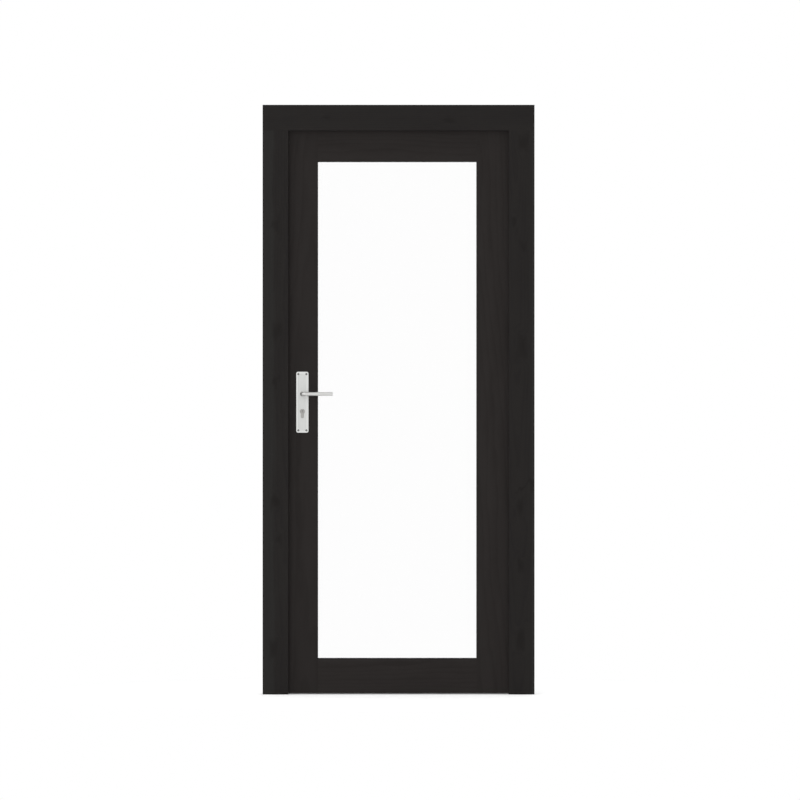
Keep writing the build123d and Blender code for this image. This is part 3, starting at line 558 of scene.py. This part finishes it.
def makePlate(name, node, screws, bush, barrel):
    low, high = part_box(node)
    out = 1 if high.y > 0 else -1
    back, front = (low.y, high.y) if out > 0 else (high.y, low.y)
    top = back + out * plate["rimTop"] * mm
    x, z = (low.x + high.x) / 2, (low.z + high.z) / 2
    border = 2 * plate["border"] * mm
    levels = (
        (back, top, high.x - low.x, high.z - low.z, plate["corner"], plate["rimRound"]),
        (back + out * plate["fieldSink"] * mm, front, high.x - low.x - border, high.z - low.z - border,
         plate["fieldCorner"], plate["fieldSlope"]),
    )
    slabs = []
    for y0, y1, width, height, corner, soft in levels:
        slab = added("cube", (x, (y0 + y1) / 2, z), name, size=1, scale=(width, abs(y1 - y0), height))
        edit(slab)
        pick("EDGE", lambda at, way: abs(way.y) > 0.5 * abs(y1 - y0))
        bpy.ops.mesh.bevel(offset=corner * mm, segments=8, affect="EDGES")
        pick("EDGE", lambda at, way: abs(at.y - y1) < 0.00001)
        bpy.ops.mesh.bevel(offset=soft * mm, segments=3, affect="EDGES")
        slabs.append(finished(slab))
    piece, field = slabs
    withModifier(piece, "BOOLEAN", operation="UNION", object=field, solver="EXACT")
    bpy.data.objects.remove(field)
    ends = sorted((back - out * mm, front + out * mm))
    barrelX, barrelZ = (barrel[0].x + barrel[1].x) / 2, (barrel[0].z + barrel[1].z) / 2
    cutters = [profilePrism(barrelX, *ends, barrelZ, plate["gap"] * mm)]
    cutters.append(added(
        "cylinder", ((bush[0].x + bush[1].x) / 2, sum(ends) / 2, (bush[0].z + bush[1].z) / 2),
        turn=(math.pi / 2, 0, 0.03), vertices=56, radius=(bush[1].x - bush[0].x) / 2, depth=ends[1] - ends[0],
    ))
    for first, last in screws:
        rim = last.y if out > 0 else first.y
        at = ((first.x + last.x) / 2, (first.z + last.z) / 2)
        wide = (last.x - first.x) / 2
        deep, fit = wide * 0.5, plate["screwFit"] * mm
        middle = rim - out * (deep / 2 - plate["screwSink"] * mm)
        sinker = added("cone", (at[0], middle, at[1]), turn=(out * -math.pi / 2, 0, 0.06), vertices=32,
                       radius1=wide - deep + fit, radius2=wide + fit, depth=deep)
        edit(sinker)
        pick("FACE", lambda at, normal: normal.y * out > 0.9)
        above = out * (abs(front - rim) + 1 * mm)
        bpy.ops.mesh.extrude_region_move(TRANSFORM_OT_translate={"value": (0, above, 0)})
        cutters.append(finished(sinker))
    return finished(cut(piece, *cutters))


# Screws: countersunk, with a softly domed head and a cross recess
screwShape = {"sides": 28, "dome": 0.25, "recessWide": 0.56, "recessArm": 0.15, "recessDeep": 0.32}


def makeScrew(head, shank, length):
    # Its head's rim lies at the origin, facing up
    neck = (head - shank) / 2
    piece = added("cone", (0, 0, -neck / 2), vertices=screwShape["sides"], radius1=shank / 2, radius2=head / 2,
                  depth=neck)
    edit(piece)
    pick("FACE", lambda at, normal: normal.z > 0.9)
    for share, lift in ((0.12, 0.55), (0.16, 0.35), (0.2, 0.1)):
        bpy.ops.mesh.inset(thickness=head / 2 * share, depth=screwShape["dome"] * mm * lift)
    pick("FACE", lambda at, normal: normal.z < -0.9)
    bpy.ops.mesh.extrude_region_move(TRANSFORM_OT_translate={"value": (0, 0, neck + shank - length)})
    bpy.ops.mesh.extrude_region_move(TRANSFORM_OT_translate={"value": (0, 0, -shank)})
    bpy.ops.transform.resize(value=(0.15, 0.15, 1), center_override=(0, 0, -length))
    finished(piece)
    deep = head * screwShape["recessDeep"]
    arms = []
    for turn in (0, math.pi / 2):
        arm = added("cube", (0, 0, 0.5 * mm - deep / 2), turn=(0, 0, turn), size=1,
                    scale=(head * screwShape["recessWide"], head * screwShape["recessArm"], deep + 1 * mm))
        edit(arm)
        pick("FACE", lambda at, normal: normal.z < -0.9)
        bpy.ops.transform.resize(value=(0.45, 0.45, 1), center_override=(0, 0, -deep))
        finished(arm)
        arms.append(arm)
    return finished(cut(piece, *arms), 25)


# A shank's share of its head, where it isn't 0.53
screwShanks = {
    "plate_screws_outer": 0.57, "plate_screws_inner": 0.57, "corner_screws": 0.55, "cylinder_screw": 0.55,
}


def screwSet(name, node, facing, body, material=zincSteel, slot="zinc_steel"):
    # A dressed screw in place of each one in a CAD node, each turned a little differently, as drivers
    # leave them
    parts = looseParts(node)
    axis = max(range(3), key=lambda i: abs(facing[i]))
    others = [i for i in range(3) if i != axis]
    first, last = parts[0]
    head = max(last[i] - first[i] for i in others)
    model = makeScrew(head, head * screwShanks.get(node, 0.53), last[axis] - first[axis])
    copies = []
    for i, (low, high) in enumerate(parts):
        at = (low + high) / 2
        at[axis] = high[axis] if facing[axis] > 0 else low[axis]
        turn = Vector(facing).to_track_quat("Z", "Y").to_matrix().to_4x4()
        spin = Matrix.Rotation(math.radians(47 * i + 13), 4, "Z")
        copies.append(copied(model, Matrix.Translation(at) @ turn @ spin))
    bpy.data.objects.remove(model)
    settle(joined(copies, name), body, material, slot, node)


# The backplates' flat border is painted lighter, as a painted highlight
paintBorderHighlight(plateAluminium, *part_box("backplate_outer"))
bush = {-1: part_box("lever_bush_outer"), 1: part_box("lever_bush_inner")}
plug = {-1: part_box("cylinder_plug_outer"), 1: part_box("cylinder_plug_inner")}
for out, side in ((-1, "outer"), (1, "inner")):
    screws = looseParts("plate_screws_" + side)
    piece = makePlate("backplate" + side.title(), "backplate_" + side, screws, bush[out], plug[out])
    settle(piece, "leaf", plateAluminium, "satin_aluminium", "backplate_" + side)
    screwSet("plateScrews" + side.title(), "plate_screws_" + side, (0, out, 0), "leaf", shadedScrewSteel)
screwSet("hingeFrameScrews", "hinge_frame_screws", (-1, 0, 0), "frame", stripSteel, "satin_steel")
screwSet("hingeLeafScrews", "hinge_leaf_screws", (1, 0, 0), "leaf", stripSteel, "satin_steel")
screwSet("strikeScrews", "strike_screws", (1, 0, 0), "frame")
screwSet("faceplateScrews", "faceplate_screws", (-1, 0, 0), "leaf")
screwSet("cylinderScrew", "cylinder_screw", (-1, 0, 0), "leaf")
screwSet("cornerScrews", "corner_screws", (0, 0, 1), "frame")
print("plates and screws made")


# Grub screws: flush under each lever, with a hexagon socket
grubShape = {"sides": 24, "round": 0.3, "socket": 2.5, "deep": 1.4}
low, high = grubs[0]
wide, tall = (high.x - low.x) / 2, high.z - low.z
model = added("cylinder", (0, 0, tall / 2), vertices=grubShape["sides"], radius=wide, depth=tall)
edit(model)
pick("FACE", lambda at, normal: abs(normal.z) > 0.9)
bpy.ops.mesh.bevel(offset=grubShape["round"] * mm, segments=2, affect="EDGES")
finished(model)
socket = added("cylinder", (0, 0, 0), vertices=6, radius=grubShape["socket"] / math.sqrt(3) * mm,
               depth=2 * grubShape["deep"] * mm)
finished(cut(model, socket))
copies = [copied(model, Matrix.Translation(((a.x + b.x) / 2, (a.y + b.y) / 2, a.z))) for a, b in grubs]
bpy.data.objects.remove(model)
settle(joined(copies, "leverGrubScrews"), "handle", zincSteel, "zinc_steel", "lever_grub_screws")


# Profile cylinder: a brass body with softened ends, and two plugs with a warded keyway
cylinder = {"round": 0.45, "plugRound": 0.4, "bore": 6.55, "camGap": 5.1, "bridge": 1004.4, "screw": 2.55}
keyway = {"deep": 20, "cuts": [(0.0, 0.0, 1.5, 8.4), (0.85, 1.6, 1.0, 1.5), (-0.85, -1.2, 1.0, 1.7)]}
low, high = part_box("cylinder_body")
screwLow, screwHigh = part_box("cylinder_screw")
plugLow, plugHigh = plug[-1]
x, z = (plugLow.x + plugHigh.x) / 2, (plugLow.z + plugHigh.z) / 2
piece = profilePrism(x, low.y, high.y, z, 0)
withModifier(piece, "BEVEL", width=cylinder["round"] * mm, segments=3, limit_method="ANGLE",
             angle_limit=math.radians(75))
bridge = cylinder["bridge"] * mm
cut(
    piece,
    added("cylinder", (x, 0, z), turn=(math.pi / 2, 0, 0), vertices=48, radius=cylinder["bore"] * mm,
          depth=high.y - low.y + 2 * mm),
    added("cube", (x, 0, bridge + 20 * mm), size=1, scale=(40 * mm, 2 * cylinder["camGap"] * mm, 40 * mm)),
    added("cylinder", ((screwLow.x + screwHigh.x) / 2, 0, (screwLow.z + screwHigh.z) / 2),
          turn=(0, math.pi / 2, 0), vertices=24, radius=cylinder["screw"] * mm,
          depth=screwHigh.x - screwLow.x),
)
piece.name = "cylinderBody"
settle(finished(piece), "leaf", nickelBrass, "nickel_brass", "cylinder_body")
for out, side in ((-1, "outer"), (1, "inner")):
    low, high = plug[out]
    face = high.y if out > 0 else low.y
    piece = added("cylinder", (x, (low.y + high.y) / 2, z), "cylinderPlug" + side.title(),
                  turn=(math.pi / 2, 0, 0), vertices=48, radius=(high.x - low.x) / 2, depth=high.y - low.y)
    edit(piece)
    pick("EDGE", lambda at, way: abs(at.y - face) < 0.00001)
    bpy.ops.mesh.bevel(offset=cylinder["plugRound"] * mm, segments=3, affect="EDGES")
    finished(piece)
    slots = [added("cube", (x + across * mm, face, z + up * mm), size=1,
                   scale=(width * mm, 2 * keyway["deep"] * mm, height * mm))
             for across, up, width, height in keyway["cuts"]]
    settle(finished(cut(piece, *slots)), "cylinder", nickelBrass, "nickel_brass", "cylinder_plug_" + side)
print("cylinder turned and cut")


# Hinges: flaps let into the wood, knuckles with softened ends, and turned pins with domed caps
hinge = {
    "sides": 40, "knuckles": 5, "play": 0.3, "gap": 3.5, "standOff": 7, "flap": 2.5, "edge": 0.3, "round": 0.45,
    "pin": 3.5, "fit": 0.06, "grip": 50,
    "cap": [(0.0, 1.857), (0.5, 1.0), (1.25, 1.0), (0.5, 0.95), (0.5, 0.88), (0.45, 0.72), (0.3, 0.45)],
}


def makeFlap(side, flapBox, screws):
    # side is 1 for the flap on the frame and -1 for the one on the leaf
    low, high = flapBox
    radius = (high.x - low.x) / 2
    x, y, z = low.x + radius, high.y - radius, (low.z + high.z) / 2
    tall, thick = high.z - low.z, hinge["flap"] * mm
    inner = x + side * hinge["gap"] / 2 * mm
    woodBack = y - hinge["standOff"] * mm
    piece = added("cube", (inner + side * thick / 2, (low.y + woodBack) / 2, z), size=1,
                  scale=(thick, woodBack - low.y, tall))
    withModifier(piece, "BEVEL", width=hinge["edge"] * mm, segments=2)
    pitch = tall / hinge["knuckles"]
    for i in range(0 if side > 0 else 1, hinge["knuckles"], 2):
        middle, length = low.z + (i + 0.5) * pitch, pitch - hinge["play"] * mm
        web = added("cube", (inner + side * thick / 2, (woodBack - 1 * mm + y) / 2, middle), size=1,
                    scale=(thick - 0.06 * mm, y - woodBack + 1 * mm, length - 2.5 * hinge["round"] * mm))
        knuckle = added("cylinder", (x, y, middle), vertices=hinge["sides"], radius=radius, depth=length)
        edit(knuckle)
        pick("FACE", lambda at, normal: abs(normal.z) > 0.9)
        bpy.ops.mesh.bevel(offset=hinge["round"] * mm, segments=3, affect="EDGES")
        finished(knuckle)
        for part in (web, knuckle):
            withModifier(piece, "BOOLEAN", operation="UNION", object=part, solver="EXACT")
            bpy.data.objects.remove(part)
    cutters = [added("cylinder", (x, y, z), vertices=hinge["sides"], radius=(hinge["pin"] + hinge["fit"]) * mm,
                     depth=tall + 10 * mm, turn=(0, 0, 0.05))]
    for first, last in screws:
        head = (last.z - first.z) / 2 + 0.1 * mm
        at = ((first.y + last.y) / 2, (first.z + last.z) / 2)
        deep = head + 0.5 * mm
        sinker = added("cone", (inner + side * (deep / 2 - 0.5 * mm), *at), turn=(0, side * math.pi / 2, 0),
                       vertices=28, radius1=deep, radius2=head * 0.53, depth=deep - head * 0.53)
        edit(sinker)
        pick("FACE", lambda at, normal: normal.x * side > 0.9)
        bpy.ops.mesh.extrude_region_move(TRANSFORM_OT_translate={"value": (side * 3 * thick, 0, 0)})
        cutters.append(finished(sinker))
    return finished(cut(piece, *cutters))


def makePin(pinBox):
    low, high = pinBox
    middle = (low + high) / 2
    grip = hinge["grip"] * mm
    piece = added("cylinder", middle, vertices=hinge["sides"], radius=hinge["pin"] * mm, depth=2 * grip)
    edit(piece)
    for way in (-1, 1):
        pick("FACE", lambda at, normal: normal.z * way > 0.9 and (at.z - middle.z) * way > grip - 0.1 * mm)
        for lift, size in hinge["cap"]:
            bpy.ops.mesh.extrude_region_move(TRANSFORM_OT_translate={"value": (0, 0, way * lift * mm)})
            bpy.ops.transform.resize(value=(size, size, 1), center_override=middle)
    return finished(piece)


# Each is modelled on the middle hinge and copied to the other two
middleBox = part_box("hinge_pin_middle")
models = {"hinge_pin": makePin(middleBox)}
for side, owner in ((1, "frame"), (-1, "leaf")):
    low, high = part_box(f"hinge_flap_{owner}_middle")
    own = [part for part in looseParts(f"hinge_{owner}_screws") if low.z < part[0].z < high.z]
    models["hinge_flap_" + owner] = makeFlap(side, (low, high), own)
for node, model in models.items():
    for place in ("bottom", "middle", "top"):
        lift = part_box("hinge_pin_" + place)[0].z - middleBox[0].z
        piece = copied(model, Matrix.Translation((0, 0, lift)))
        piece.name = (node + "_" + place).title().replace("_", "").replace("Hinge", "hinge")
        settle(piece, "leaf" if "leaf" in node else "frame", stripSteel, "satin_steel", node + "_" + place)
    bpy.data.objects.remove(model)
print("hinges made")


# Plates, bolts and seals: merged copies of the CAD's own shapes with their sharp edges rounded
def softened(name, body, material, slot, soft, node):
    piece = bpy.data.objects.new(name, nodes[node].data.copy())
    bpy.context.scene.collection.objects.link(piece)
    finished(piece)
    edit(piece)
    bpy.ops.mesh.select_all(action="SELECT")
    bpy.ops.mesh.dissolve_limited(angle_limit=math.radians(1))
    bpy.ops.object.mode_set(mode="OBJECT")
    withModifier(piece, "BEVEL", width=soft * mm, segments=2, limit_method="ANGLE",
                 angle_limit=math.radians(40))
    withModifier(piece, "TRIANGULATE")
    settle(finished(piece), body, material, slot, node)


softened("lockFaceplate", "leaf", stripSteel, "satin_steel", 0.3, "lock_faceplate")
softened("strikePlate", "frame", stripSteel, "satin_steel", 0.3, "strike_plate")
softened("latchBolt", "latch", nickelBrass, "nickel_brass", 0.5, "latch_bolt")
softened("deadBolt", "deadbolt", nickelBrass, "nickel_brass", 0.5, "dead_bolt")
for side in ("head", "lock", "hinge"):
    softened("seal" + side.title(), "frame", rubber, "seal_rubber", 1.0, "seal_" + side)
print("plates, bolts and seals softened")


# Stage, light and camera
studio = {
    "camera": (5.2, -22052, 1061.2),  # level and square to the frame's front, 22 m away
    "width": 2882.8,  # what the picture's width takes in at the frame's front
    "ambient": 0.5,
    "floorGlow": 0.44,
    "contact": 60,  # how near to a foot the floor's glow dims
    "shadowReach": (0.9, 1.3),  # past these metres the floor is plain white to the eye
    "floor": "#E8E8E8",
    "dust": "#E6E6E6",
}


def seenDirectly(tree):
    # 1 where the camera, a mirror or glass looks, and 0 where light only falls on the object
    seen = addNode(tree, "LightPath").outputs
    looked = addNode(tree, "Math", (seen["Is Camera Ray"], seen["Is Glossy Ray"]), "MAXIMUM")
    return addNode(tree, "Math", (looked, seen["Is Transmission Ray"]), "MAXIMUM")


bpy.ops.object.select_all(action="DESELECT")
bpy.ops.mesh.primitive_plane_add(size=160, location=(0, 0, 0))
floor = bpy.context.object
floor.name = "studioFloor"
material, tree, shader, spot = newMaterial("painted studio floor", Roughness=0.9, Specular_IOR_Level=0.0)
place = addNode(tree, "VectorMath", (spot, (30, 30, 30)), "MULTIPLY")
dust = addNode(tree, "TexNoise", {"Vector": place, "Scale": 1.0})
dust = addNode(tree, "ValToRGB", (dust,), stops=[(0.3, studio["dust"]), (0.7, studio["floor"])])
feed(tree, shader, {"Base Color": dust})
direct = seenDirectly(tree)
clear = addNode(tree, "AmbientOcclusion", {"Distance": studio["contact"] * mm}, samples=12).outputs["AO"]
glow = addNode(tree, "Math", (direct, studio["floorGlow"]), "MULTIPLY")
glow = addNode(tree, "Math", (glow, clear), "MULTIPLY")
glow = addNode(tree, "Emission", {"Color": (1, 1, 1, 1), "Strength": glow})
both = addNode(tree, "AddShader", (shader.outputs[0], glow))
plain = addNode(tree, "Emission", {"Color": (1, 1, 1, 1), "Strength": 1.0})
reach = addNode(tree, "VectorMath", (spot,), "LENGTH")
near, edge = studio["shadowReach"]
far = addNode(tree, "MapRange", {"Value": reach, "From Min": near, "From Max": edge})
far = addNode(tree, "Math", (far, direct), "MULTIPLY")
feed(tree, tree.nodes["Material Output"], {"Surface": addNode(tree, "MixShader", (far, both, plain))})
floor.data.materials.append(material)
floor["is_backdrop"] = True

world = bpy.data.worlds.new("studio white")
bpy.context.scene.world = world
world.use_nodes = True
tree = world.node_tree
tree.nodes.clear()
direct = seenDirectly(tree)
plain = addNode(tree, "Background", {"Color": (1, 1, 1, 1), "Strength": studio["ambient"]})
white = addNode(tree, "Background", {"Color": (1, 1, 1, 1), "Strength": 1.0})
feed(tree, addNode(tree, "OutputWorld"), {"Surface": addNode(tree, "MixShader", (direct, plain, white))})

lamps = {
    "frontLamp": dict(place=(-1.0, -7.0, 0.9), size=3.6, power=238, mirrored=False),
    "keyLamp": dict(place=(-3.4, -3.8, 4.0), size=2.2, power=22, mirrored=True),
    "backLamp": dict(place=(1.0, 7.0, 1.6), size=3.6, power=230, mirrored=False),
    "topLamp": dict(place=(0.0, -0.3, 6.0), size=3.0, power=90, mirrored=False),
}
for name, lamp in lamps.items():
    bpy.ops.object.light_add(type="AREA", location=lamp["place"])
    light = bpy.context.object
    light.name = name
    light.data.energy = lamp["power"]
    light.data.size = lamp["size"]
    light.visible_camera = False
    light.visible_transmission = False
    light.visible_glossy = lamp["mirrored"]
    light.rotation_euler = (Vector((0, 0, 1.05)) - Vector(lamp["place"])).to_track_quat("-Z", "Y").to_euler()

cameraPlace = Vector(studio["camera"]) * mm
bpy.ops.object.camera_add(location=cameraPlace, rotation=(math.pi / 2, 0, 0))
camera = bpy.context.object
camera.data.sensor_width = 36
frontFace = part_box("head")[0].y
camera.data.lens = 36 * (frontFace - cameraPlace.y) / (studio["width"] * mm)
camera.data.clip_end = 100
bpy.context.scene.camera = camera
bpy.context.scene.view_settings.view_transform = "Standard"
print("stage, lamps and camera set")

low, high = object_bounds()
